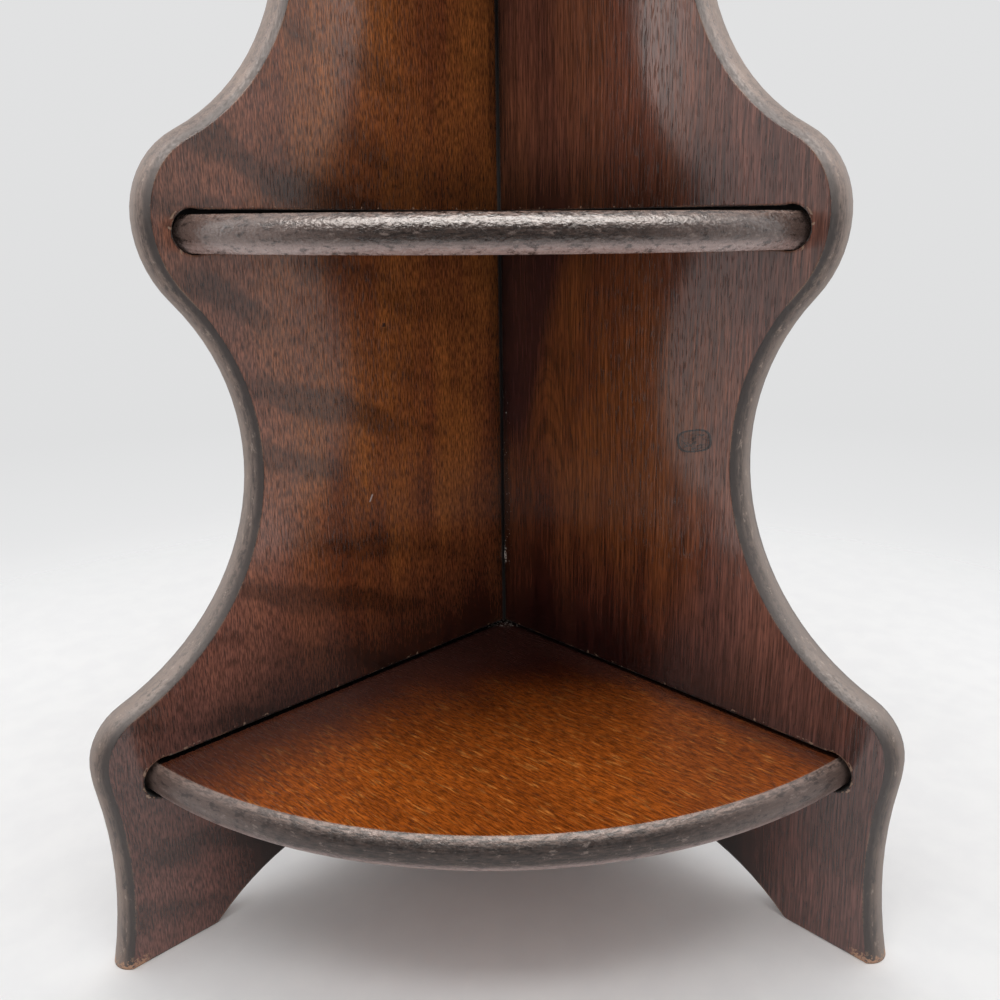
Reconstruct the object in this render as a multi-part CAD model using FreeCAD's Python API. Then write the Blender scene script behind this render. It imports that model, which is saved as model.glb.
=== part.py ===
import FreeCAD, Part
import math
import os
from collections import namedtuple

from FreeCAD import Vector

# Corner shelf: two scalloped side panels meet at a right angle, and rounded shelves sit in stopped
# grooves in both. Left and right are as seen from the front. +Z is up and the floor is at Z = 0.
# The left panel runs along -Y and the right panel along +X from the inner corner. Millimetres.

# Stock and edges
panel_thickness = 12.0
shelf_thickness = 12.0
edge_crown = 3.3            # bulge of the rounded front edges past their crisp arrises
seam_ease = 0.5             # chamfer on the right panel's back arris, seen as the corner seam

# Shelves: height of each upper surface, and reach of each front edge along the panels
lower_shelf_height = 71.2
middle_shelf_height = 250.9
upper_shelf_height = 421.0
lower_shelf_reach = 164.4
middle_shelf_reach = 137.1
upper_shelf_reach = 113.6
shelf_arc_setback = 31.2    # centre of the front arcs, behind the inner corner along the bisector

# Lobes of the panel outline: how far each passes its shelf and stands above its surface
lower_lobe_margin = 16.6
middle_lobe_margin = 12.1
upper_lobe_margin = 10.4
lower_lobe_rise = 4.0
middle_lobe_rise = -1.1
upper_lobe_rise = 0.0
lower_lobe_radius_below = 52.0
lower_lobe_radius_above = 19.4
middle_lobe_radius_below = 39.0
middle_lobe_radius_above = 30.6
upper_lobe_radius_below = 26.0
upper_lobe_radius_above = 20.0

# Hollows of the panel outline, each tangent to the lobes beside it
foot_hollow_radius = 168.0
lower_waist_radius = 81.2
upper_waist_radius = 78.0
crest_hollow_radius = 95.0

# Feet and crest
foot_reach = lower_shelf_reach + lower_lobe_margin    # front of the foot at the floor, under the lobe
front_foot_length = 34.5
back_foot_length = 43.0
arch_height = 19.5
arch_corner_radius = 3.0
crest_height = 500.0
crest_radius = 14.0
crest_flat = 10.0           # flat top beside the inner corner

# Stopped grooves that hold the shelves
groove_depth = 5.0
groove_gap = 1.5            # free height above the shelf
groove_end_gap = 2.6        # free length past the shelf's front edge
groove_end_swell = 0.5      # the round end is this much larger in radius than the groove

# Countersunk wood screws, driven from the outer faces
screw_head_radius = 3.5
screw_shank_radius = 1.75
screw_root_radius = 1.2
screw_head_height = 2.4
screw_head_rim = 0.4
screw_thread_pitch = 1.6
screw_tip_length = 4.0
screw_tip_radius = 0.25
screw_sink = 0.5            # depth of the head below the panel's outer face
screw_clearance = 0.15
screw_recess_length = 3.8
screw_recess_width = 0.9
screw_recess_depth = 1.3
shelf_screw_length = 25.0
corner_screw_length = 30.0
screw_inset_front = 34.0    # from the shelf's front edge, along the panel
screw_inset_back = 34.0     # from the inner corner, along the panel
corner_screws_per_bay = 2

# Room for tools that cut past a face
overrun = 5.0
band_root = 2.0             # how deep an edge band reaches into the panel behind its arris

Tier = namedtuple("Tier", "name height reach lobe_reach lobe_height below above")
Arc = namedtuple("Arc", "centre radius start end convex")

tiers = [
    Tier("lower", lower_shelf_height, lower_shelf_reach, lower_shelf_reach + lower_lobe_margin,
         lower_shelf_height + lower_lobe_rise, lower_lobe_radius_below, lower_lobe_radius_above),
    Tier("middle", middle_shelf_height, middle_shelf_reach, middle_shelf_reach + middle_lobe_margin,
         middle_shelf_height + middle_lobe_rise, middle_lobe_radius_below, middle_lobe_radius_above),
    Tier("upper", upper_shelf_height, upper_shelf_reach, upper_shelf_reach + upper_lobe_margin,
         upper_shelf_height + upper_lobe_rise, upper_lobe_radius_below, upper_lobe_radius_above),
]
waist_radii = [lower_waist_radius, upper_waist_radius]

# The inner corner's place, which puts the origin at the middle of the floor area
panel_reach = max([foot_reach] + [tier.lobe_reach for tier in tiers])
corner = Vector(-(panel_reach - panel_thickness) / 2, (panel_reach - panel_thickness) / 2, 0)


# Outline geometry in the plane of a panel, as (reach, height) pairs

def angle_to(start, end):
    """Direction from one point to another, in degrees."""
    return math.degrees(math.atan2(end[1] - start[1], end[0] - start[0]))


def hollow_centre(first, first_distance, second, second_distance):
    """The point at two given distances from two points, on the side of the larger reach."""
    span = math.hypot(second[0] - first[0], second[1] - first[1])
    along = (first_distance ** 2 - second_distance ** 2 + span ** 2) / (2 * span)
    aside = math.sqrt(first_distance ** 2 - along ** 2)
    ahead = ((second[0] - first[0]) / span, (second[1] - first[1]) / span)
    return (first[0] + ahead[0] * along + ahead[1] * aside,
            first[1] + ahead[1] * along - ahead[0] * aside)


def outline():
    """The crown line of a panel's front edge, as tangent arcs from below the floor to the crest."""
    lower_centres = [(tier.lobe_reach - tier.below, tier.lobe_height) for tier in tiers]
    upper_centres = [(tier.lobe_reach - tier.above, tier.lobe_height) for tier in tiers]
    crest_centre = (crest_flat, crest_height - crest_radius)
    hollow_radii = [foot_hollow_radius] + waist_radii + [crest_hollow_radius]

    hollows = [hollow_centre((foot_reach, 0), foot_hollow_radius,
                             lower_centres[0], tiers[0].below + foot_hollow_radius)]
    tops = lower_centres[1:] + [crest_centre]
    top_radii = [tier.below for tier in tiers[1:]] + [crest_radius]
    for k, radius in enumerate(hollow_radii[1:]):
        hollows.append(hollow_centre(upper_centres[k], tiers[k].above + radius,
                                     tops[k], top_radii[k] + radius))

    foot_start = 180 + math.degrees(math.asin((hollows[0][1] + overrun) / foot_hollow_radius))
    arcs = [Arc(hollows[0], foot_hollow_radius, foot_start, angle_to(hollows[0], lower_centres[0]), False)]
    for k, tier in enumerate(tiers):
        below = hollows[k]
        above = hollows[k + 1]
        arcs.append(Arc(lower_centres[k], tier.below, angle_to(lower_centres[k], below), 0, True))
        arcs.append(Arc(upper_centres[k], tier.above, 0, angle_to(upper_centres[k], above), True))
        arcs.append(Arc(above, hollow_radii[k + 1], angle_to(above, upper_centres[k]) % 360,
                        angle_to(above, tops[k]) % 360, False))
    arcs.append(Arc(crest_centre, crest_radius, angle_to(crest_centre, hollows[-1]), 90, True))
    return arcs


def arris_radius(arc):
    """Radius of the arris line beside a crown arc: inside on a lobe, outside on a hollow."""
    return arc.radius - edge_crown if arc.convex else arc.radius + edge_crown


def polar(centre, radius, degrees):
    """A point in a panel's plane, as a vector at the inner face."""
    turn = math.radians(degrees)
    return Vector(centre[0] + radius * math.cos(turn), 0, centre[1] + radius * math.sin(turn))


# Edge bands

def edge_profile(place, thickness):
    """Section of a rounded edge: place(outward, across) gives points, the arrises at outward 0."""
    nose = Part.Arc(place(0, 0), place(edge_crown, thickness / 2), place(0, thickness)).toShape()
    root = Part.makePolygon([place(0, thickness), place(-band_root, thickness),
                             place(-band_root, 0), place(0, 0)])
    return Part.Face(Part.Wire([nose] + root.Edges))


def arc_band(arc):
    """The rounded edge along one arc of the outline."""
    way = 1 if arc.convex else -1
    ahead = polar((0, 0), 1, arc.start)
    axis_point = Vector(arc.centre[0], 0, arc.centre[1])

    def place(outward, across):
        return axis_point + ahead * (arris_radius(arc) + way * outward) + Vector(0, across, 0)

    axis = Vector(0, -1, 0) if arc.end > arc.start else Vector(0, 1, 0)
    return edge_profile(place, panel_thickness).revolve(axis_point, axis, abs(arc.end - arc.start))


def crest_band(back):
    """The rounded edge along the flat top, from the crest's arc to the back edge."""
    def place(outward, across):
        return Vector(crest_flat, across, crest_height - edge_crown + outward)

    return edge_profile(place, panel_thickness).extrude(Vector(back - crest_flat, 0, 0))


# Panels, modelled with the inner face in the XZ plane, the outer face at Y = panel_thickness and the
# inner corner at X = 0. The left panel is a mirror image across the corner's bisector.

def mirrored(shape):
    """A shape of the right side carried to the left side."""
    return shape.mirror(Vector(0, 0, 0), Vector(1, 1, 0))


def panel_blank(back):
    """A panel with its rounded front edge, from a back edge at X = back."""
    arcs = outline()
    edges = []
    for arc in arcs:
        radius = arris_radius(arc)
        middle = (arc.start + arc.end) / 2
        edges.append(Part.Arc(polar(arc.centre, radius, arc.start), polar(arc.centre, radius, middle),
                              polar(arc.centre, radius, arc.end)).toShape())
    first = polar(arcs[0].centre, arris_radius(arcs[0]), arcs[0].start)
    last = polar(arcs[-1].centre, arris_radius(arcs[-1]), arcs[-1].end)
    edges += Part.makePolygon([last, Vector(back, 0, last.z), Vector(back, 0, first.z), first]).Edges
    core = Part.Face(Part.Wire(edges)).extrude(Vector(0, panel_thickness, 0))
    bands = [arc_band(arc) for arc in arcs] + [crest_band(back)]
    solid = core.multiFuse(bands).removeSplitter()
    under_floor = Part.makeBox(panel_reach * 2, panel_thickness + 2 * overrun, overrun * 4,
                               Vector(back - overrun, -overrun, -overrun * 4))
    return solid.cut(under_floor)


def arch():
    """The space under a panel between its back foot and its front foot."""
    start = back_foot_length
    end = foot_reach - front_foot_length
    curve = Part.Arc(Vector(start, 0, 0), Vector((start + end) / 2, 0, arch_height),
                     Vector(end, 0, 0)).toShape()
    chord = Part.makeLine(Vector(end, 0, 0), Vector(start, 0, 0))
    return Part.Face(Part.Wire([curve, chord])).extrude(Vector(0, panel_thickness, 0))


def eased_arch(panel):
    """Rounds the two lower corners of the arch."""
    corners = [back_foot_length, foot_reach - front_foot_length]
    edges = []
    for edge in panel.Edges:
        middle = edge.CenterOfMass
        across = abs(edge.BoundBox.YLength - panel_thickness) < 1e-3
        if across and abs(middle.z) < 1e-3 and min(abs(middle.x - u) for u in corners) < 1e-3:
            edges.append(edge)
    return panel.makeFillet(arch_corner_radius, edges)


def groove(tier, back):
    """A stopped groove for one shelf, with its round front end."""
    height = shelf_thickness + groove_gap
    low = tier.height - shelf_thickness
    end_radius = height / 2 + groove_end_swell
    end_centre = tier.reach + groove_end_gap - end_radius
    slot = Part.makeBox(end_centre - back, groove_depth, height, Vector(back, 0, low))
    end = Part.makeCylinder(end_radius, groove_depth, Vector(end_centre, 0, low + height / 2),
                            Vector(0, 1, 0))
    return slot.fuse(end)


# Screws, modelled along -Y with the head's flat face at Y = panel_thickness - screw_sink

def turned(profile, reach, height):
    """A solid turned from (radius, depth) points about a screw's axis."""
    top = panel_thickness - screw_sink
    points = [Vector(reach + radius, top - depth, height) for radius, depth in profile]
    face = Part.Face(Part.makePolygon(points + points[:1]))
    return face.revolve(Vector(reach, 0, height), Vector(0, 1, 0), 360)


def screw(reach, height, length):
    """A countersunk wood screw with thread ridges, a pointed tip and a cross recess."""
    thread_start = panel_thickness - screw_sink
    thread_end = length - screw_tip_length
    ridges = int((thread_end - thread_start) / screw_thread_pitch)
    profile = [(0, 0), (screw_head_radius, 0), (screw_head_radius, screw_head_rim),
               (screw_shank_radius, screw_head_height), (screw_shank_radius, thread_start)]
    for k in range(ridges):
        depth = thread_start + k * screw_thread_pitch
        profile.append((screw_root_radius, depth + screw_thread_pitch / 4))
        profile.append((screw_root_radius, depth + screw_thread_pitch / 2))
        profile.append((screw_shank_radius, depth + screw_thread_pitch))
    profile += [(screw_root_radius, thread_end), (screw_tip_radius, length), (0, length)]
    solid = turned(profile, reach, height)
    top = panel_thickness - screw_sink
    for wide, tall in ((screw_recess_length, screw_recess_width), (screw_recess_width, screw_recess_length)):
        slot = Part.makeBox(wide, screw_recess_depth, tall,
                            Vector(reach - wide / 2, top - screw_recess_depth, height - tall / 2))
        solid = solid.cut(slot)
    return solid


def screw_hole(reach, height, length):
    """The countersunk hole for a screw, with clearance all round."""
    head = screw_head_radius + screw_clearance
    shank = screw_shank_radius + screw_clearance
    bottom = length + screw_clearance
    return turned([(0, -screw_sink - overrun), (head, -screw_sink - overrun), (head, screw_head_rim),
                   (shank, screw_head_height), (shank, bottom), (0, bottom)], reach, height)


def shelf_screw_places(tier):
    """(name, reach, height, length) of the screws that hold one shelf to one panel."""
    height = tier.height - shelf_thickness / 2
    return [("back", screw_inset_back, height, shelf_screw_length),
            ("front", tier.reach - screw_inset_front, height, shelf_screw_length)]


def corner_screw_places():
    """(reach, height, length) of the screws from the left panel into the right panel's back edge."""
    heights = [(tiers[0].height - shelf_thickness) / 2]
    for lower, upper in zip(tiers, tiers[1:]):
        bay = upper.height - shelf_thickness - lower.height
        for k in range(corner_screws_per_bay):
            heights.append(lower.height + bay * (k + 1) / (corner_screws_per_bay + 1))
    heights.append((tiers[-1].height + crest_height) / 2)
    return [(-panel_thickness / 2, height, corner_screw_length) for height in heights]


# Shelves

def shelf(tier):
    """A shelf with a rounded front edge, its square corner and sides set into the grooves."""
    aside = shelf_arc_setback / math.sqrt(2)
    crown_radius = math.hypot(tier.reach + aside, aside)
    arris = crown_radius - edge_crown
    axis_point = Vector(-aside, aside, tier.height - shelf_thickness)

    def place(outward, up):
        return axis_point + Vector(outward, 0, up)

    nose = Part.Arc(place(arris, 0), place(crown_radius, shelf_thickness / 2),
                    place(arris, shelf_thickness)).toShape()
    rest = Part.makePolygon([place(arris, shelf_thickness), place(0, shelf_thickness),
                             place(0, 0), place(arris, 0)])
    disc = Part.Face(Part.Wire([nose] + rest.Edges)).revolve(axis_point, Vector(0, 0, 1), 360)
    side = tier.reach + groove_depth + overrun
    quarter = Part.makeBox(side, side, shelf_thickness,
                           Vector(-groove_depth, groove_depth - side, tier.height - shelf_thickness))
    return disc.common(quarter)


# Assembly

def build():
    """All pieces by node name, with the inner corner on the Z axis."""
    right_holes = []
    left_holes = []
    pieces = {}
    for tier in tiers:
        for name, reach, height, length in shelf_screw_places(tier):
            piece = screw(reach, height, length)
            hole = screw_hole(reach, height, length)
            pieces["screw_%s_right_%s" % (tier.name, name)] = piece
            pieces["screw_%s_left_%s" % (tier.name, name)] = mirrored(piece)
            right_holes.append(hole)
            left_holes.append(mirrored(hole))
    corner_holes = []
    for k, place in enumerate(corner_screw_places()):
        pieces["screw_corner_%d" % (k + 1)] = mirrored(screw(*place))
        corner_holes.append(mirrored(screw_hole(*place)))

    right = eased_arch(panel_blank(0).cut(arch()))
    left = eased_arch(panel_blank(-panel_thickness).cut(arch()))
    for tier in tiers:
        right = right.cut(groove(tier, 0))
        left = left.cut(groove(tier, -groove_depth))
    ease = Part.Face(Part.makePolygon([Vector(0, 0, 0), Vector(seam_ease, 0, 0), Vector(0, seam_ease, 0),
                                       Vector(0, 0, 0)])).extrude(Vector(0, 0, crest_height))
    pieces["right_panel"] = right.cut(ease).cut(right_holes + corner_holes)
    pieces["left_panel"] = mirrored(left).cut(left_holes + corner_holes)
    for tier in tiers:
        pieces["%s_shelf" % tier.name] = shelf(tier).cut(right_holes + left_holes)
    return pieces


def main():
    os.makedirs("parts", exist_ok=True)
    for name, shape in build().items():
        shape.translate(corner)
        solids = shape.Solids
        facts = (name, len(solids), shape.Volume, shape.isValid())
        print("%-28s solids %d  volume %10.1f  valid %s" % facts)
        solids[0].exportStep("parts/%s.step" % name)


main()
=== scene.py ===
import math
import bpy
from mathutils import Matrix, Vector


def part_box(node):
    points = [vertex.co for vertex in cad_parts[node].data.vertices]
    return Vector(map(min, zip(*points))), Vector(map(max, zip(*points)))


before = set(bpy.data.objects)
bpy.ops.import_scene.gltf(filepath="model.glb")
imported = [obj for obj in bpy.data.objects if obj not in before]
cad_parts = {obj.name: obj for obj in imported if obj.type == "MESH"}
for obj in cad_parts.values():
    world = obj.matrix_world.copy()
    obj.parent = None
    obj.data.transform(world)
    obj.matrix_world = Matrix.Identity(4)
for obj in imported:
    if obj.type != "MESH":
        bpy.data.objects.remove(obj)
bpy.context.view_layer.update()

from types import SimpleNamespace

import bpy
from mathutils import Matrix, Vector

scene = bpy.context.scene
scene.view_settings.view_transform = "Standard"

# Sizes of the part in millimetres, measured on the solids
millimetre = 0.001                                      # in metres, the unit of the frame
tiers = ("lower", "middle", "upper")
panel_low, panel_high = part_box("left_panel")
corner = -panel_high.x / millimetre                     # the inner corner is at (-corner, +corner)
panel_thickness = (panel_high.x - panel_low.x) / millimetre
panel_reach = corner - panel_low.y / millimetre         # from the inner corner to the front
shelf_boxes = {tier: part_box(tier + "_shelf") for tier in tiers}
shelf_tops = {tier: box[1].z / millimetre for tier, box in shelf_boxes.items()}
shelf_thickness = shelf_tops["lower"] - shelf_boxes["lower"][0].z / millimetre
groove_gap = 1.5                                        # dark height above a shelf
groove_end_gap = 2.0                                    # dark length past a shelf's widest reach
groove_depth = 5.0
groove_ends = {tier: box[1].x / millimetre + corner + groove_end_gap for tier, box in shelf_boxes.items()}


class Graph:
    """Builds one node tree. A value is a number, a colour or the output of another node."""

    def __init__(self, tree):
        self.tree = tree
        self.tree.nodes.clear()

    def node(self, kind, **settings):
        made = self.tree.nodes.new(kind)
        for key, value in settings.items():
            setattr(made, key, value)
        return made

    def put(self, socket, value):
        if isinstance(value, bpy.types.NodeSocket):
            self.tree.links.new(value, socket)
        else:
            socket.default_value = value

    def fill(self, made, values):
        """Puts values into a node's first inputs."""
        for socket, value in zip(made.inputs, values):
            self.put(socket, value)

    def math(self, operation, *values):
        made = self.node("ShaderNodeMath", operation=operation)
        self.fill(made, values)
        return made.outputs[0]

    def add(self, first, second):
        return self.math("ADD", first, second)

    def less(self, first, second):
        return self.math("SUBTRACT", first, second)

    def times(self, first, *others):
        for other in others:
            first = self.math("MULTIPLY", first, other)
        return first

    def highest(self, first, *others):
        for other in others:
            first = self.math("MAXIMUM", first, other)
        return first

    def diagonal(self, first, second):
        return self.math("SQRT", self.add(self.times(first, first), self.times(second, second)))

    def between(self, share, first, second):
        """A number that goes from the first to the second as the share goes from 0 to 1."""
        return self.add(self.times(first, self.less(1.0, share)), self.times(second, share))

    def vector(self, x, y, z):
        made = self.node("ShaderNodeCombineXYZ")
        self.fill(made, (x, y, z))
        return made.outputs[0]

    def split(self, vector):
        made = self.node("ShaderNodeSeparateXYZ")
        self.put(made.inputs[0], vector)
        return list(made.outputs)

    def noise(self, places, scales, detail=2.0, roughness=0.5):
        """Noise about 0.5. Each place has its own scale, in features per unit of length."""
        made = self.node("ShaderNodeTexNoise")
        spot = self.vector(*(self.times(place, scale) for place, scale in zip(places, scales)))
        self.put(made.inputs["Vector"], spot)
        made.inputs["Scale"].default_value = 1.0
        made.inputs["Detail"].default_value = detail
        made.inputs["Roughness"].default_value = roughness
        return made.outputs["Fac"]

    def step(self, value, low, high, start=0.0, end=1.0):
        """Goes smoothly from start, where the value is low, to end, where it is high."""
        made = self.node("ShaderNodeMapRange", interpolation_type="SMOOTHSTEP")
        self.fill(made, (value, low, high, start, end))
        return made.outputs["Result"]

    def vary(self, layer, contrast, depth):
        """A factor of 1 plus or minus a depth, from noise."""
        return self.step(layer, 0.5 - contrast, 0.5 + contrast, 1.0 - depth, 1.0 + depth)

    def near(self, value, middle, spread):
        """1 where a value is close to a middle, 0 beyond the given spread."""
        return self.step(self.math("ABSOLUTE", self.less(value, middle)), spread, 0.6 * spread)

    def mix(self, share, first, second, blend="MIX"):
        made = self.node("ShaderNodeMix", data_type="RGBA", blend_type=blend)
        self.put(made.inputs[0], share)
        self.put(made.inputs[6], first)
        self.put(made.inputs[7], second)
        return made.outputs[2]

    def shade(self, colour, factor):
        """A colour times a grey factor."""
        grey_factor = self.node("ShaderNodeCombineColor")
        self.fill(grey_factor, (factor, factor, factor))
        return self.mix(1.0, colour, grey_factor.outputs[0], "MULTIPLY")

    def darken(self, colour, mask, factor):
        """A colour times a factor where the mask is 1, and as it was where the mask is 0."""
        return self.shade(colour, self.step(mask, 0.0, 1.0, 1.0, factor))

    def ramp(self, value, stops):
        """A colour that runs through (position, colour) stops."""
        made = self.node("ShaderNodeValToRGB")
        self.put(made.inputs[0], value)
        elements = made.color_ramp.elements
        for element, (position, colour) in zip(elements, (stops[0], stops[-1])):
            element.position = position
            element.color = colour
        for position, colour in stops[1:-1]:
            elements.new(position).color = colour
        return made.outputs[0]

    def bump(self, height, distance, strength, normal=None):
        made = self.node("ShaderNodeBump")
        made.inputs["Strength"].default_value = strength
        made.inputs["Distance"].default_value = distance
        self.put(made.inputs["Height"], height)
        if normal is not None:
            self.put(made.inputs["Normal"], normal)
        return made.outputs[0]

    def principled(self, colour, roughness, normal=None, **constants):
        """The main shader. Constants go on its own sockets."""
        shader = self.node("ShaderNodeBsdfPrincipled")
        self.put(shader.inputs["Base Color"], colour)
        self.put(shader.inputs["Roughness"], roughness)
        if normal is not None:
            self.put(shader.inputs["Normal"], normal)
        for key, value in constants.items():
            shader.inputs[key.replace("_", " ")].default_value = value
        return shader.outputs[0]

    def background(self, colour, strength=1.0):
        made = self.node("ShaderNodeBackground")
        self.fill(made, (colour, strength))
        return made.outputs[0]

    def mix_shader(self, share, first, second):
        made = self.node("ShaderNodeMixShader")
        self.fill(made, (share, first, second))
        return made.outputs[0]

    def output(self, kind, shader):
        self.put(self.node(kind).inputs["Surface"], shader)


def rgb(red, green, blue):
    """A colour in linear values, with full alpha."""
    return (red, green, blue, 1.0)


def grey(level):
    return rgb(level, level, level)


def cool_grey(level):
    return rgb(level, 1.004 * level, 1.01 * level)


def new_material(name):
    material = bpy.data.materials.new(name)
    material.use_nodes = True
    return material, Graph(material.node_tree)


# Painted shade inside the grooves and the seam, on panels and shelves
groove_shade = rgb(0.003, 0.002, 0.002)

# Looks in which the two panels differ
panel_looks = {
    "left": SimpleNamespace(
        seed=17.0, fibre=(2.2, 0.30), fibre_depth=0.48, line_depth=0.16,
        gold=rgb(0.245, 0.079, 0.017), brown=rgb(0.130, 0.035, 0.012),
        low_share=0.85, low_edge_factor=1.0, roughness=0.13, shine=0.85),
    "right": SimpleNamespace(
        seed=143.0, fibre=(1.7, 0.07), fibre_depth=0.38, line_depth=0.18,
        gold=rgb(0.168, 0.052, 0.014), brown=rgb(0.090, 0.024, 0.011),
        low_share=0.95, low_edge_factor=0.72, roughness=0.10, shine=0.95),
}

# Looks in which the three shelves differ
shelf_looks = {
    "lower": SimpleNamespace(
        seed=31.0, left_end=0.5, right_end=0.5, nose_roughness=(0.32, 0.50), dents=2.0, shine=0.6),
    "middle": SimpleNamespace(
        seed=77.0, left_end=0.75, right_end=0.4, nose_roughness=(0.16, 0.32), dents=4.0, shine=0.9),
    "upper": SimpleNamespace(
        seed=211.0, left_end=0.6, right_end=0.4, nose_roughness=(0.18, 0.36), dents=3.0, shine=0.8),
}

# Layers of wood noise: features per millimetre across and along the grain, and detail
grain_layers = {
    "broad": (0.045, 0.010, 2.0),
    "streak": (0.45, 0.014, 3.0),
    "line": (1.3, 0.018, 1.0),
    "pore": (1.8, 0.16, 1.0),
}
fibre_detail = 2.0
shelf_fibre = (1.7, 0.24)


def place_and_normal(g):
    """(x, y, z) in millimetres, and the surface normal's (x, y, z), all in the part's frame."""
    coordinates = g.node("ShaderNodeTexCoord").outputs
    place = [g.times(value, 1.0 / millimetre) for value in g.split(coordinates["Object"])]
    return place, g.split(coordinates["Normal"])


def arris(g, radius):
    """1 at sharp edges, falling to 0 at the given radius in metres, and the rounded normal."""
    soft = g.node("ShaderNodeBevel", samples=6)
    soft.inputs["Radius"].default_value = radius
    true = g.node("ShaderNodeNewGeometry")
    agreement = g.node("ShaderNodeVectorMath", operation="DOT_PRODUCT")
    g.fill(agreement, (soft.outputs[0], true.outputs["Normal"]))
    return g.step(agreement.outputs["Value"], 0.999, 0.93), soft.outputs[0]


def grain(g, across, along, through, seed, fibre):
    """Wood noise in layers. A fibre is given by its features per millimetre across and along the grain."""
    wander = 5.0                        # millimetres to the side
    across = g.add(across, seed)
    bend = g.noise((across, along, seed), (0.02, 0.012, 1.0), detail=1.0)
    across = g.add(across, g.times(bend, wander))
    wood = {}
    for layer, sizes in {**grain_layers, "fibre": (*fibre, fibre_detail)}.items():
        scale_across, scale_along, detail = sizes
        scales = (scale_across, scale_along, scale_across)
        wood[layer] = g.noise((across, along, through), scales, detail=detail, roughness=0.6)
    return wood


def wood_tone(g, wood, contrast, streak_share):
    """0 in dark wood to 1 in light wood."""
    broad = g.step(wood["broad"], 0.5 - contrast, 0.5 + contrast)
    streak = g.step(wood["streak"], 0.25, 0.75)
    return g.between(streak_share, broad, streak)


def open_pores(g, wood):
    return g.step(wood["pore"], 0.56, 0.68)


def curl(g, reach, z):
    """Factor for soft dark bands across the grain that fall towards the corner."""
    spacing = 25.0
    slope = 0.39
    swing = 4.5                         # radians by which a band strays
    faint_reaches = (15.0, 75.0)        # the bands are faint near the corner
    light = 1.10
    dark = 0.55
    slant = g.less(z, g.times(reach, slope))
    wobble = g.noise((reach, slant, 3.0), (0.035, 0.03, 1.0), detail=3.0)
    phase = g.add(g.times(slant, 2 * math.pi / spacing), g.times(wobble, swing))
    wave = g.math("COSINE", g.less(phase, swing / 2))
    fade = g.noise((reach, slant, 11.0), (0.018, 0.035, 1.0))
    share = g.times(g.step(wave, -0.6, 1.0), g.step(fade, 0.34, 0.62))
    share = g.times(share, g.step(reach, *faint_reaches, 0.35, 1.0))
    return g.step(share, 0.0, 1.0, light, dark)


def rings(g, reach, z, depth):
    """Factor for straight dark ring lines, with nested arches of a flat-sawn patch near the corner."""
    arch_reach = 27.0
    arch_top = 206.0
    arch_curve = 0.19
    patch_heights = (105.0, 150.0)      # the patch fades in between them
    straight = g.noise((reach, z, depth), (0.70, 0.005, 0.5))
    aside = g.less(reach, arch_reach)
    arch = g.add(z, g.times(aside, aside, arch_curve))
    nested = g.noise((arch, reach, 8.0), (0.16, 0.02, 1.0), roughness=0.6)
    share = g.times(g.step(arch, arch_top, arch_top - 10.0), g.step(z, *patch_heights, 0.0, 0.75))
    lines = g.step(straight, 0.36, 0.62, 0.76, 1.12)
    arches = g.step(nested, 0.40, 0.58, 0.64, 1.14)
    return g.between(share, lines, arches)


def oval_mark(g, reach, z):
    """Share of a faint stained oval and of its scribbled dark lines, at its place on the right panel."""
    middle_reach = 99.3
    middle_z = 171.5
    half_length = 7.4
    half_width = 4.0
    tilt = math.radians(14.4)
    rim_size = 0.86                     # the oval's own outline has the size 1
    aside = g.less(reach, middle_reach)
    up = g.less(z, middle_z)
    a = g.add(g.times(aside, math.cos(tilt) / half_length), g.times(up, math.sin(tilt) / half_length))
    b = g.add(g.times(up, math.cos(tilt) / half_width), g.times(aside, -math.sin(tilt) / half_width))
    cubes = [g.math("POWER", g.math("ABSOLUTE", value), 3.0) for value in (a, b)]
    size = g.add(*cubes)
    inside = g.step(size, 1.0, 0.8)
    rim = g.step(g.math("ABSOLUTE", g.less(size, rim_size)), 0.30, 0.10)
    wave = g.noise((a, b, 4.0), (1.6, 2.2, 1.0), detail=1.0)
    scribble = g.step(g.math("ABSOLUTE", g.less(wave, 0.5)), 0.035, 0.015, 0.0, 0.7)
    return inside, g.highest(rim, g.times(scribble, inside))


def panel_places(g, side):
    """Where a point of a panel lies, how its surface faces, and the noise that its layers share.

    The reach is measured along the panel from the inner corner, the depth from the inner face.
    """
    (x, y, z), (normal_x, normal_y, _) = place_and_normal(g)
    if side == "left":
        reach = g.less(corner, y)
        depth = g.less(-corner, x)
        facing = g.math("ABSOLUTE", normal_x)
        flat_back = g.step(normal_y, 0.7, 0.9)
        nose = g.times(g.step(facing, 0.95, 0.87), g.less(1.0, flat_back))
    else:
        reach = g.add(x, corner)
        depth = g.less(y, corner)
        facing = g.math("ABSOLUTE", normal_y)
        nose = g.step(facing, 0.95, 0.87)
    spot = (reach, depth, z)
    return SimpleNamespace(
        reach=reach, depth=depth, z=z, facing=facing, nose=nose,
        inner_face=g.step(depth, 0.6, 0.3),
        speck=g.noise(spot, (0.9, 0.9, 0.9), detail=3.0, roughness=0.65),
        patch=g.noise(spot, (0.06, 0.15, 0.06)),
        brushed=g.noise(spot, (0.9, 1.6, 0.22), detail=4.0, roughness=0.7),
        blotch=g.noise(spot, (0.35, 0.6, 0.20), detail=5.0, roughness=0.72),
        ragged=g.noise((reach, z, 2.0), (0.8, 0.8, 1.0), detail=3.0, roughness=0.7))


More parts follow.
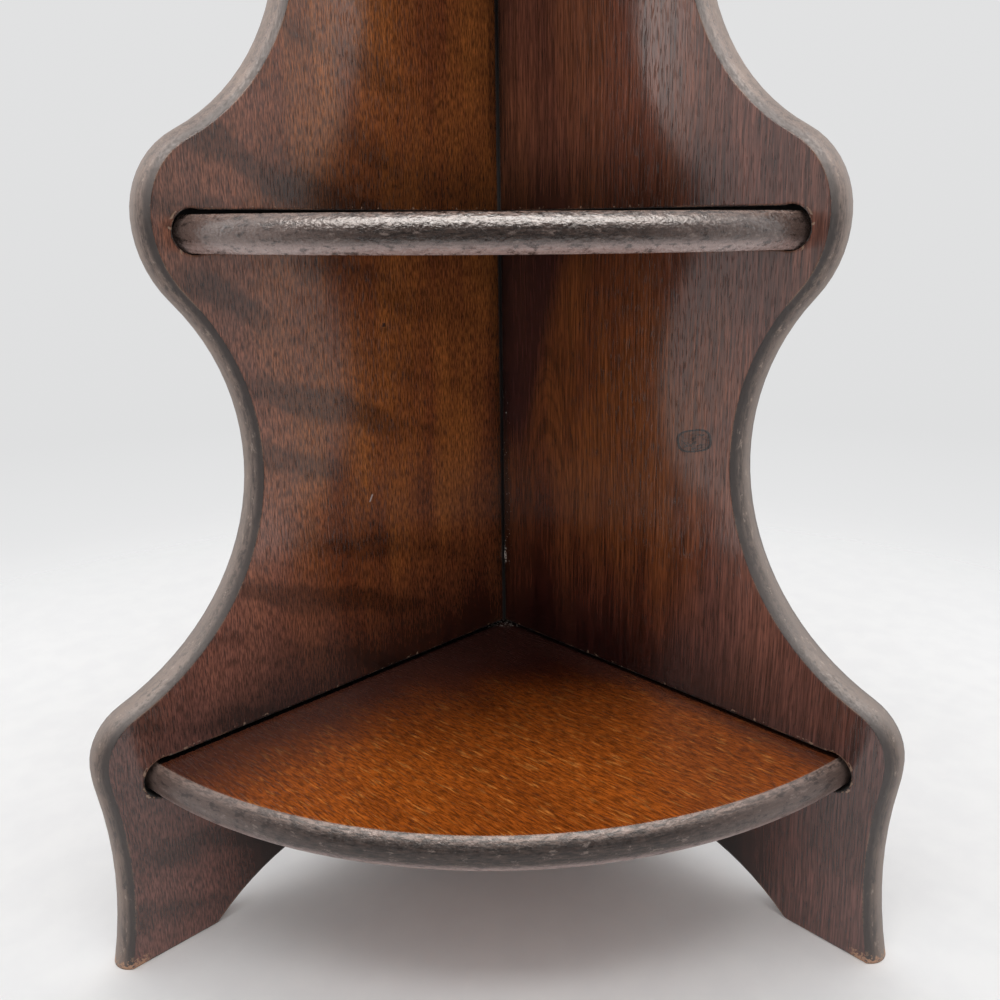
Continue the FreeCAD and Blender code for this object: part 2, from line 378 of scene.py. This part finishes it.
def panel_field(g, side, look, at, wood):
    """Golden brown about the middle of each bay, dark purple-brown low down and outside, where the purple
    is partly the wood's tone and partly a painted sheen.
    """
    # Purple: partly the wood's tone, partly a painted sheen
    purple = rgb(0.180, 0.077, 0.061)
    low_dark = rgb(0.024, 0.004, 0.004)
    low_light = rgb(0.064, 0.017, 0.015)
    stain_and_shade = rgb(0.030, 0.010, 0.012)
    low_heights = (95.0, 190.0)         # in each pair, where a change starts and where it ends
    dim_heights = (60.0, 150.0)
    purple_heights = (235.0, 275.0)
    outer_reaches = (95.0, 150.0)
    tone = wood_tone(g, wood, contrast=0.18, streak_share=0.35)
    colour = g.mix(tone, look.brown, look.gold)
    low = g.step(g.add(at.z, g.times(wood["broad"], 60.0)), *low_heights, look.low_share, 0.0)
    colour = g.mix(low, colour, g.mix(tone, low_dark, low_light))
    # Purple outside: partly the wood's tone, partly a painted sheen
    outer = g.step(g.add(at.reach, g.times(at.patch, 30.0)), *outer_reaches, 0.0, 0.65)
    colour = g.mix(outer, colour, g.shade(purple, g.step(at.z, *dim_heights, 0.75, 1.0)))
    if side == "left":
        colour = g.shade(colour, curl(g, at.reach, at.z))
    else:
        # Purple high up on the right panel: partly the wood's tone, partly a painted sheen
        colour = g.mix(g.step(at.z, *purple_heights, 0.0, 0.35), colour, purple)
        colour = g.shade(colour, rings(g, at.reach, at.z, at.depth))
        # Painted shade in the right panel's corner under the middle shelf
        colour = g.mix(slanted_shade(g, at), colour, stain_and_shade)
    colour = g.darken(colour, open_pores(g, wood), 0.62)
    colour = g.shade(colour, g.vary(wood["fibre"], contrast=0.14, depth=look.fibre_depth))
    return g.shade(colour, g.vary(wood["line"], contrast=0.16, depth=look.line_depth))


def slanted_shade(g, at):
    """Share of a dark purple painted shade in the right panel's corner, under the middle shelf."""
    slope = 0.27
    middle_z = 205.0
    spread_z = 60.0
    slant = g.less(at.reach, g.times(at.z, slope))
    share = g.step(slant, -22.0, -34.0, 0.0, 0.85)
    return g.times(share, g.near(at.z, middle_z, spread_z), at.inner_face)


def panel_painted_shade(g, at, wood):
    """Share of painted shade in the corner, over the shelves and under the lower shelf, and of darker bands
    past the grooves.
    """
    corner_share = 0.58
    over_share = 0.54
    past_share = 0.36
    under_share = 0.80
    fade_start = 45.0                   # both before the end of a groove
    fade_end = 4.0
    share = g.step(g.add(at.reach, g.times(wood["streak"], 4.0)), 2.0, 13.0, corner_share, 0.0)
    for tier in tiers:
        above = g.less(at.z, shelf_tops[tier])
        past = g.step(at.reach, groove_ends[tier] - fade_start, groove_ends[tier] - fade_end)
        shelf_up = g.step(above, -shelf_thickness - 1.0, -shelf_thickness)
        over = g.times(g.step(above, 2.0, 46.0, over_share, 0.0), shelf_up, g.less(1.0, past))
        beyond = g.times(past, past_share, g.near(at.z, shelf_tops[tier], 55.0))
        share = g.highest(share, over, beyond)
    underside = shelf_tops["lower"] - shelf_thickness
    inward = g.step(at.reach, groove_ends["lower"] - 9.0, groove_ends["lower"] - 49.0, 0.0, under_share)
    under = g.times(g.step(at.z, underside - 0.2, underside - 5.2), inward)
    return g.times(g.highest(share, under), at.inner_face)


def left_marks(g, at, colour):
    """A dark dot in the colour, and the share of a light scratch."""
    dot_reach = 60.5
    dot_z = 210.7
    dot_radius = 0.9
    scratch_reach = 70.0
    scratch_z = 145.0
    scratch_half_height = 1.7
    scratch_half_width = 0.45
    scratch_lean = 0.5
    dot = g.times(g.near(at.reach, dot_reach, dot_radius), g.near(at.z, dot_z, dot_radius), at.inner_face)
    aside = g.add(g.less(at.reach, scratch_reach), g.times(g.less(at.z, scratch_z), scratch_lean))
    scratch = g.times(g.near(at.z, scratch_z, scratch_half_height), g.near(aside, 0.0, scratch_half_width))
    return g.darken(colour, dot, 0.15), g.times(scratch, 0.6)


def right_marks(g, at, colour):
    """A stained oval in the colour, and the share of dots of old paint beside the seam."""
    group_z = 104.0
    group_half_height = 4.5
    few_z = 140.0
    few_half_height = 45.0
    inside, lines = oval_mark(g, at.reach, at.z)
    colour = g.darken(colour, g.times(inside, at.inner_face), 0.72)
    colour = g.darken(colour, g.times(lines, at.inner_face), 0.18)
    group = g.times(g.near(at.z, group_z, group_half_height), g.step(at.reach, 2.2, 1.6))
    group = g.times(group, g.step(at.speck, 0.48, 0.54))
    few = g.times(g.near(at.z, few_z, few_half_height), g.step(at.reach, 5.5, 4.5))
    few = g.times(few, g.step(at.speck, 0.65, 0.68))
    return colour, g.highest(group, few)


panel_marks = {"left": left_marks, "right": right_marks}


def panel_grooves(g, at):
    """Shares of painted shade in the grooves, with ragged edges, and in the seam, and of the pale chips at
    their edges.
    """
    flake = g.noise((at.reach, at.z, 9.0), (0.55, 0.55, 1.0), detail=1.5)
    inside = g.step(at.depth, 0.05, 0.35)
    half = (shelf_thickness + groove_gap) / 2
    hole = 0.0
    chips = 0.0
    for tier in tiers:
        up = g.less(at.z, shelf_tops[tier] - shelf_thickness + half)
        ahead = g.highest(g.less(at.reach, groove_ends[tier] - half), 0.0)
        out = g.less(g.diagonal(up, ahead), half)
        broken = g.step(g.add(out, g.times(at.ragged, 1.6)), 1.15, 0.85)
        hole = g.highest(hole, g.times(g.step(out, 0.9, 0.6), inside), broken)
        loose = g.add(flake, g.step(ahead, 1.0, 5.0, 0.0, 0.10))
        chips = g.highest(chips, g.times(g.step(out, 1.5, 1.0), g.step(loose, 0.66, 0.70)))
    hole = g.times(hole, g.step(at.depth, groove_depth + 1.5, groove_depth + 1.0))
    hole = g.times(hole, g.step(at.reach, -1.0, -0.5))
    chips = g.times(chips, g.step(at.depth, 0.3, 0.1))
    seam = g.times(g.step(g.add(at.reach, g.times(at.ragged, 0.9)), 1.7, 1.2), at.inner_face)
    return g.highest(hole, seam), chips


def panel_edge(g, look, at):
    """Colour of the rounded edges: grey-brown, mottled, lighter high up and paler at the crown, both partly
    painted highlight, and dark beside the faces.
    """
    dark = rgb(0.050, 0.031, 0.024)
    light = rgb(0.150, 0.103, 0.083)
    pale = rgb(0.200, 0.138, 0.106)
    blotched = rgb(0.026, 0.017, 0.015)
    bare = rgb(0.290, 0.218, 0.176)
    crown = rgb(0.270, 0.205, 0.170)
    border = rgb(0.022, 0.012, 0.010)
    low_heights = (180.0, 280.0)
    colour = g.mix(g.step(at.brushed, 0.38, 0.62), dark, light)
    colour = g.mix(g.step(at.patch, 0.42, 0.68, 0.0, 0.7), colour, pale)
    # Lighter high up: partly wear, partly a painted highlight
    colour = g.shade(colour, g.step(at.z, *low_heights, look.low_edge_factor, 1.3))
    colour = g.mix(g.step(at.blotch, 0.54, 0.62, 0.0, 0.8), colour, blotched)
    colour = g.mix(g.step(at.blotch, 0.41, 0.35, 0.0, 0.7), colour, bare)
    # Paler at the crown, where the edge turns away: a painted highlight
    colour = g.mix(g.step(at.facing, 0.50, 0.10, 0.0, 0.5), colour, crown)
    beside_face = g.step(g.add(at.facing, g.times(at.brushed, 0.4)), 0.74, 0.92, 0.0, 0.92)
    return g.mix(beside_face, colour, border)


def panel_wear(g, at, worn, colour):
    """Rubbed and dark stretches of the arrises, and the raw corners of the front feet."""
    rubbed = rgb(0.30, 0.17, 0.105)
    raw_wood = rgb(0.36, 0.19, 0.105)
    raw_height = 5.5
    raw_length = 11.0
    rub = g.times(worn, g.step(g.add(at.patch, g.times(at.speck, 0.5)), 0.70, 0.86), 0.8)
    colour = g.mix(rub, colour, rubbed)
    line = g.times(worn, g.step(g.add(at.patch, g.times(at.speck, 0.4)), 0.74, 0.62))
    colour = g.darken(colour, line, 0.25)
    ahead = g.less(at.reach, panel_reach - raw_length)
    raw = g.times(g.step(at.z, raw_height, raw_height - 3.5), g.step(ahead, 0.0, 4.0))
    raw = g.times(raw, g.step(g.less(at.speck, g.times(at.z, 0.05)), 0.36, 0.48))
    return g.mix(raw, colour, raw_wood)


def panel_wood(side):
    """Stained and lacquered board with upright grain, worn edges, painted sheen and highlights, and painted
    shade in the joints, the corner and about the shelves.
    """
    chipped = rgb(0.30, 0.20, 0.14)
    pale_mark = rgb(0.60, 0.55, 0.50)
    material, g = new_material(side + "_panel_wood")
    look = panel_looks[side]
    at = panel_places(g, side)
    wood = grain(g, at.reach, at.z, at.depth, look.seed, look.fibre)
    worn, soft_normal = arris(g, 1.2 * millimetre)
    hole, chips = panel_grooves(g, at)

    colour = panel_field(g, side, look, at, wood)
    # Painted shade, darkened towards black, in the corner, over the shelves and under the lower shelf
    colour = g.darken(colour, panel_painted_shade(g, at, wood), 0.0)
    colour, marks = panel_marks[side](g, at, colour)
    colour = g.mix(at.nose, colour, panel_edge(g, look, at))
    colour = panel_wear(g, at, worn, colour)
    # Painted shade in the grooves and the seam
    colour = g.mix(hole, colour, groove_shade)
    colour = g.mix(g.times(chips, 0.8), colour, chipped)
    colour = g.mix(g.times(marks, at.inner_face), colour, pale_mark)

    # Lacquer with open pores: glossy on the inner face, duller outside, rubbed on the edges
    pores = open_pores(g, wood)
    rough = g.add(g.step(at.speck, 0.2, 0.8, look.roughness, look.roughness + 0.04), g.times(pores, 0.10))
    rough = g.add(rough, g.step(at.depth, panel_thickness - 1.0, panel_thickness - 0.2, 0.0, 0.26))
    rough = g.between(at.nose, rough, g.step(at.brushed, 0.3, 0.7, 0.50, 0.70))
    rough = g.highest(rough, g.times(hole, 0.9))
    relief = g.add(g.times(pores, -0.6), g.times(wood["streak"], 0.5))
    relief = g.add(relief, g.times(wood["line"], 0.25))
    relief = g.add(relief, g.times(at.nose, g.add(g.times(at.brushed, 1.2), g.times(at.patch, 3.0))))
    relief = g.add(relief, g.times(chips, -2.0))
    normal = g.bump(relief, 0.18 * millimetre, 0.25, soft_normal)
    shader = g.principled(colour, rough, normal, IOR=1.5, Specular_IOR_Level=look.shine)
    g.output("ShaderNodeOutputMaterial", shader)
    return material


def shelf_places(g, tier):
    """Where a point of a shelf lies from the inner corner, and the noise that its layers share."""
    (x, y, z), (_, _, normal_z) = place_and_normal(g)
    grain_turn = math.radians(3.5)
    right = g.add(x, corner)
    front = g.less(corner, y)
    sweep = g.times(g.math("ARCTAN2", front, right), groove_ends[tier])
    seed = shelf_looks[tier].seed
    return SimpleNamespace(
        right=right, front=front, z=z, normal_z=normal_z,
        along=g.add(g.times(right, math.cos(grain_turn)), g.times(front, -math.sin(grain_turn))),
        across=g.add(g.times(front, math.cos(grain_turn)), g.times(right, math.sin(grain_turn))),
        nose=g.step(g.math("ABSOLUTE", normal_z), 0.95, 0.87),
        speck=g.noise((x, y, z), (0.8, 0.8, 0.8), detail=3.0, roughness=0.65),
        dents=g.noise((x, y, z), (0.55, 0.55, 0.8)),
        brushed=g.noise((sweep, z, seed), (0.22, 1.5, 1.0), detail=3.0, roughness=0.6),
        blotch=g.noise((sweep, z, seed + 3.0), (0.18, 0.45, 1.0), detail=5.0, roughness=0.72),
        cloud=g.noise((right, front, seed + 5.0), (0.03, 0.03, 1.0)))


def shelf_field(g, look, at, wood):
    """Golden brown with light flecks along the grain."""
    gold = rgb(0.375, 0.086, 0.009)
    brown = rgb(0.225, 0.049, 0.006)
    flecked = rgb(0.50, 0.175, 0.036)
    colour = g.mix(wood_tone(g, wood, contrast=0.2, streak_share=0.3), brown, gold)
    fleck = g.noise((at.across, at.along, look.seed), (0.62, 0.10, 1.0), roughness=0.6)
    colour = g.mix(g.step(fleck, 0.55, 0.70, 0.0, 0.75), colour, flecked)
    colour = g.darken(colour, open_pores(g, wood), 0.68)
    colour = g.shade(colour, g.vary(wood["fibre"], contrast=0.16, depth=0.45))
    return g.shade(colour, g.vary(wood["line"], contrast=0.16, depth=0.10))


def shelf_painted_shade(g, at, colour):
    """Painted shade: nearly black in the corner, purple-brown beside the panels, black where the shelf
    enters the grooves.
    """
    corner_dark = rgb(0.012, 0.001, 0.001)
    left_dark = rgb(0.052, 0.018, 0.014)
    right_dark = rgb(0.050, 0.017, 0.013)
    corner_fade = (48.0, 145.0)         # in each pair, where a stain starts to fade and where it ends
    left_fade = (18.0, 66.0)
    right_fade = (8.0, 22.0)
    far = g.add(g.diagonal(at.right, at.front), g.times(at.cloud, 30.0))
    colour = g.mix(g.step(far, *corner_fade, 0.98, 0.0), colour, corner_dark)
    beside_left = g.step(g.add(at.right, g.times(at.cloud, 26.0)), *left_fade, 0.88, 0.0)
    colour = g.mix(beside_left, colour, left_dark)
    beside_right = g.step(g.add(at.front, g.times(at.cloud, 14.0)), *right_fade, 0.7, 0.0)
    colour = g.mix(beside_right, colour, right_dark)
    ragged = g.times(at.speck, 1.2)
    sunk_left = g.step(g.add(at.right, ragged), 1.0, 0.6)
    sunk_right = g.step(g.add(at.front, ragged), 0.8, 0.3, 0.0, 0.8)
    return g.mix(g.highest(sunk_left, sunk_right), colour, groove_shade)


def shelf_nose(g, look, at):
    """Colour of the rounded front: dark and pitted, with paler ends as a painted highlight, and lighter
    above and below, partly wear and partly a painted highlight and reflection.
    """
    dark = rgb(0.014, 0.008, 0.006)
    light = rgb(0.060, 0.037, 0.029)
    end_highlight = rgb(0.165, 0.112, 0.096)
    worn_reflection_below = rgb(0.34, 0.245, 0.225)
    worn_highlight_above = rgb(0.27, 0.18, 0.145)
    blotched = rgb(0.022, 0.013, 0.011)
    bare = rgb(0.240, 0.180, 0.155)
    end_fade = (25.0, 75.0)
    colour = g.mix(g.step(at.brushed, 0.32, 0.68), dark, light)
    left_end = g.step(at.right, *end_fade, look.left_end, 0.0)
    right_end = g.step(at.front, *end_fade, look.right_end, 0.0)
    # Paler ends: a painted highlight
    colour = g.mix(g.highest(left_end, right_end), colour, end_highlight)
    # Lighter below: partly wear, partly a painted reflection
    below = g.times(g.step(at.normal_z, -0.20, -0.70), g.step(at.brushed, 0.25, 0.60, 0.5, 1.0))
    colour = g.mix(below, colour, worn_reflection_below)
    # Lighter above: partly wear, partly a painted highlight
    above = g.times(g.step(at.normal_z, 0.45, 0.80), g.step(at.brushed, 0.40, 0.60), 0.8)
    colour = g.mix(above, colour, worn_highlight_above)
    colour = g.mix(g.step(at.blotch, 0.53, 0.61, 0.0, 0.75), colour, blotched)
    return g.mix(g.step(at.blotch, 0.42, 0.36, 0.0, 0.5), colour, bare)


def shelf_wood(tier):
    """Stained and lacquered quarter shelf with grain along +X, light flecks, a dark worn nose with painted
    highlights, and painted shade in the corner and grooves.
    """
    old_paint = rgb(0.55, 0.50, 0.45)
    rubbed = rgb(0.36, 0.19, 0.11)
    material, g = new_material(tier + "_shelf_wood")
    look = shelf_looks[tier]
    at = shelf_places(g, tier)
    wood = grain(g, at.across, at.along, at.z, look.seed, shelf_fibre)
    worn, soft_normal = arris(g, 1.0 * millimetre)

    # Painted shade in the corner, beside the panels and in the grooves
    colour = shelf_painted_shade(g, at, shelf_field(g, look, at, wood))
    if tier == "lower":
        paint = g.times(g.step(g.add(at.right, at.front), 9.0, 6.0), g.step(at.speck, 0.56, 0.60))
        colour = g.mix(paint, colour, old_paint)
    colour = g.mix(at.nose, colour, shelf_nose(g, look, at))
    rub = g.times(worn, g.step(at.speck, 0.42, 0.60), 0.6)
    colour = g.mix(rub, colour, rubbed)

    # Lacquer with open pores, a dull underside and a dented nose
    pores = open_pores(g, wood)
    rough = g.add(g.step(at.speck, 0.2, 0.8, 0.16, 0.26), g.times(pores, 0.12))
    rough = g.highest(rough, g.step(at.normal_z, -0.90, -0.96, 0.0, 0.60))
    rough = g.between(at.nose, rough, g.step(at.speck, 0.3, 0.7, *look.nose_roughness))
    relief = g.add(g.times(pores, -0.55), g.times(wood["streak"], 0.4))
    relief = g.add(relief, g.times(at.nose, g.add(g.times(at.speck, 0.35), at.dents), look.dents))
    normal = g.bump(relief, 0.3 * millimetre, 0.25, soft_normal)
    shader = g.principled(colour, rough, normal, IOR=1.5, Specular_IOR_Level=look.shine)
    g.output("ShaderNodeOutputMaterial", shader)
    return material


def screw_steel():
    """Dull plated steel with fine scratches and dark stains."""
    plated = rgb(0.42, 0.40, 0.36)
    stain_and_shade = rgb(0.16, 0.13, 0.10)
    material, g = new_material("screw_steel")
    place, _ = place_and_normal(g)
    fine = g.noise(place, (3.0, 3.0, 3.0), detail=3.0)
    stain = g.noise(place, (0.6, 0.6, 0.6))
    colour = g.mix(g.step(stain, 0.40, 0.62), plated, stain_and_shade)
    colour = g.shade(colour, g.step(fine, 0.3, 0.7, 0.85, 1.1))
    rough = g.step(fine, 0.3, 0.7, 0.32, 0.52)
    normal = g.bump(fine, 0.1 * millimetre, 0.2)
    g.output("ShaderNodeOutputMaterial", g.principled(colour, rough, normal, Metallic=1.0))
    return material


# Materials on the solids
steel = screw_steel()
for name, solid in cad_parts.items():
    if name.endswith("_panel"):
        material = panel_wood(name.split("_")[0])
    elif name.endswith("_shelf"):
        material = shelf_wood(name.split("_")[0])
    else:
        material = steel
    for slot in solid.material_slots:
        slot.material = material

# Floor in metres: a pale disc whose rim fades into the background
floor_radius = 0.65
floor_sides = 96
floor_drop = 0.0002                 # below the feet
floor_fade = (0.30, 0.62)           # distances from the middle


def floor_paper():
    """Matt pale paper with a faint mottle."""
    dark_paper = rgb(0.84, 0.84, 0.845)
    light_paper = grey(0.87)
    material, g = new_material("floor_paper")
    x, y, _ = g.split(g.node("ShaderNodeTexCoord").outputs["Object"])
    fine = g.noise((x, y, 0.0), (60.0, 60.0, 1.0), detail=3.0)
    colour = g.mix(g.step(fine, 0.3, 0.7), dark_paper, light_paper)
    paper = g.principled(colour, 0.55)
    clear = g.node("ShaderNodeBsdfTransparent").outputs[0]
    faded = g.step(g.diagonal(x, y), *floor_fade)
    g.output("ShaderNodeOutputMaterial", g.mix_shader(faded, paper, clear))
    return material


angles = [2 * math.pi * k / floor_sides for k in range(floor_sides)]
rim = [(floor_radius * math.cos(angle), floor_radius * math.sin(angle), 0.0) for angle in angles]
sheet = bpy.data.meshes.new("floor")
sheet.from_pydata(rim, [], [tuple(range(floor_sides))])
sheet.materials.append(floor_paper())
floor = bpy.data.objects.new("floor", sheet)
floor.location.z = -floor_drop
scene.collection.objects.link(floor)


def studio_world():
    """A pale backdrop for the camera and for gloss, dim in front of the part, and a sky that lights it."""
    backdrop_stops = (
        (0.0, rgb(0.86, 0.86, 0.865)), (0.27, cool_grey(0.90)), (0.40, cool_grey(0.74)),
        (0.60, cool_grey(0.755)), (1.0, grey(0.80)))
    sky_stops = ((0.30, grey(0.64)), (0.50, grey(1.04)), (0.72, grey(0.75)), (0.95, grey(0.69)))
    front_level = 0.14                  # of the backdrop in front, in reflections
    world = bpy.data.worlds.new("studio")
    world.use_nodes = True
    g = Graph(world.node_tree)
    x, y, z = g.split(g.node("ShaderNodeTexCoord").outputs["Generated"])
    height = g.times(g.add(z, 1.0), 0.5)
    frontness = g.times(g.less(x, y), math.sqrt(0.5))
    rays = g.node("ShaderNodeLightPath").outputs
    strength = g.highest(g.step(frontness, 0.1, 0.8, 1.0, front_level), rays["Is Camera Ray"])
    backdrop = g.background(g.ramp(height, backdrop_stops), strength)
    sky = g.background(g.ramp(height, sky_stops))
    shown = g.highest(rays["Is Camera Ray"], rays["Is Glossy Ray"], rays["Is Transmission Ray"])
    g.output("ShaderNodeOutputWorld", g.mix_shader(shown, sky, backdrop))
    return world


scene.world = studio_world()

# Soft lights in metres and watts
white = (1.0, 1.0, 1.0)
warm = (1.0, 0.91, 0.85)
part_middle = (0.0, 0.0, 0.2)
part_low = (0.0, 0.0, 0.15)
floor_behind = (-0.12, 0.12, 0.0)


def soft_box(name, place, aim, width, height, watts, colour=white, lights_wood=True):
    """A soft light. One that doesn't light the wood only shows in its gloss, like a pale ceiling."""
    data = bpy.data.lights.new(name, "AREA")
    data.shape = "RECTANGLE"
    data.size = width
    data.size_y = height
    data.energy = watts
    data.color = colour
    lamp = bpy.data.objects.new(name, data)
    lamp.location = place
    lamp.visible_camera = False
    lamp.visible_diffuse = lights_wood
    lamp.rotation_euler = (Vector(aim) - Vector(place)).to_track_quat("-Z", "Y").to_euler()
    scene.collection.objects.link(lamp)


soft_box("overhead", (0.34, -0.34, 1.25), part_low, width=1.2, height=0.22, watts=3.6)
soft_box("ceiling", (0.36, -0.36, 1.30), part_low, width=2.2, height=0.7, watts=40.0,
         colour=warm, lights_wood=False)
soft_box("left_side", (-0.78, -0.45, 0.50), part_middle, width=0.7, height=0.7, watts=1.6)
soft_box("right_side", (0.45, 0.78, 0.50), part_middle, width=0.7, height=0.7, watts=1.6)
soft_box("behind", (-0.60, 0.60, 0.85), floor_behind, width=0.8, height=0.5, watts=1.4)

# Camera fitted to the photograph, placed from the inner corner: metres, radians and pixels
camera_distance = 0.39643           # level distance from the corner
camera_height = 0.24770
camera_bearing = math.pi / 4 + 0.0237
camera_heading = camera_bearing - 0.0251
camera_pitch = -0.2379
camera_roll = 0.0070
focal_pixels = 937.67
picture_pixels = 1000.0
sensor_width = 36.0                 # millimetres
lens_shift = (-0.025, -0.05)        # shares of the picture, across and up


def fitted_camera():
    """A camera at the photographer's place, turned and shifted as the photo shows."""
    eye = Vector((camera_distance * math.sin(camera_bearing) - corner * millimetre,
                  corner * millimetre - camera_distance * math.cos(camera_bearing),
                  camera_height))
    ahead = Vector((-math.sin(camera_heading) * math.cos(camera_pitch),
                    math.cos(camera_heading) * math.cos(camera_pitch),
                    math.sin(camera_pitch)))
    level_right = Vector((math.cos(camera_heading), math.sin(camera_heading), 0.0))
    level_up = level_right.cross(ahead)
    right = level_right * math.cos(camera_roll) - level_up * math.sin(camera_roll)
    up = level_right * math.sin(camera_roll) + level_up * math.cos(camera_roll)
    lens = bpy.data.cameras.new("camera")
    lens.sensor_width = sensor_width
    lens.lens = sensor_width * focal_pixels / picture_pixels
    lens.shift_x, lens.shift_y = lens_shift
    made = bpy.data.objects.new("camera", lens)
    made.matrix_world = Matrix.Translation(eye) @ Matrix((right, up, -ahead)).transposed().to_4x4()
    return made


camera = fitted_camera()
scene.collection.objects.link(camera)
scene.camera = camera
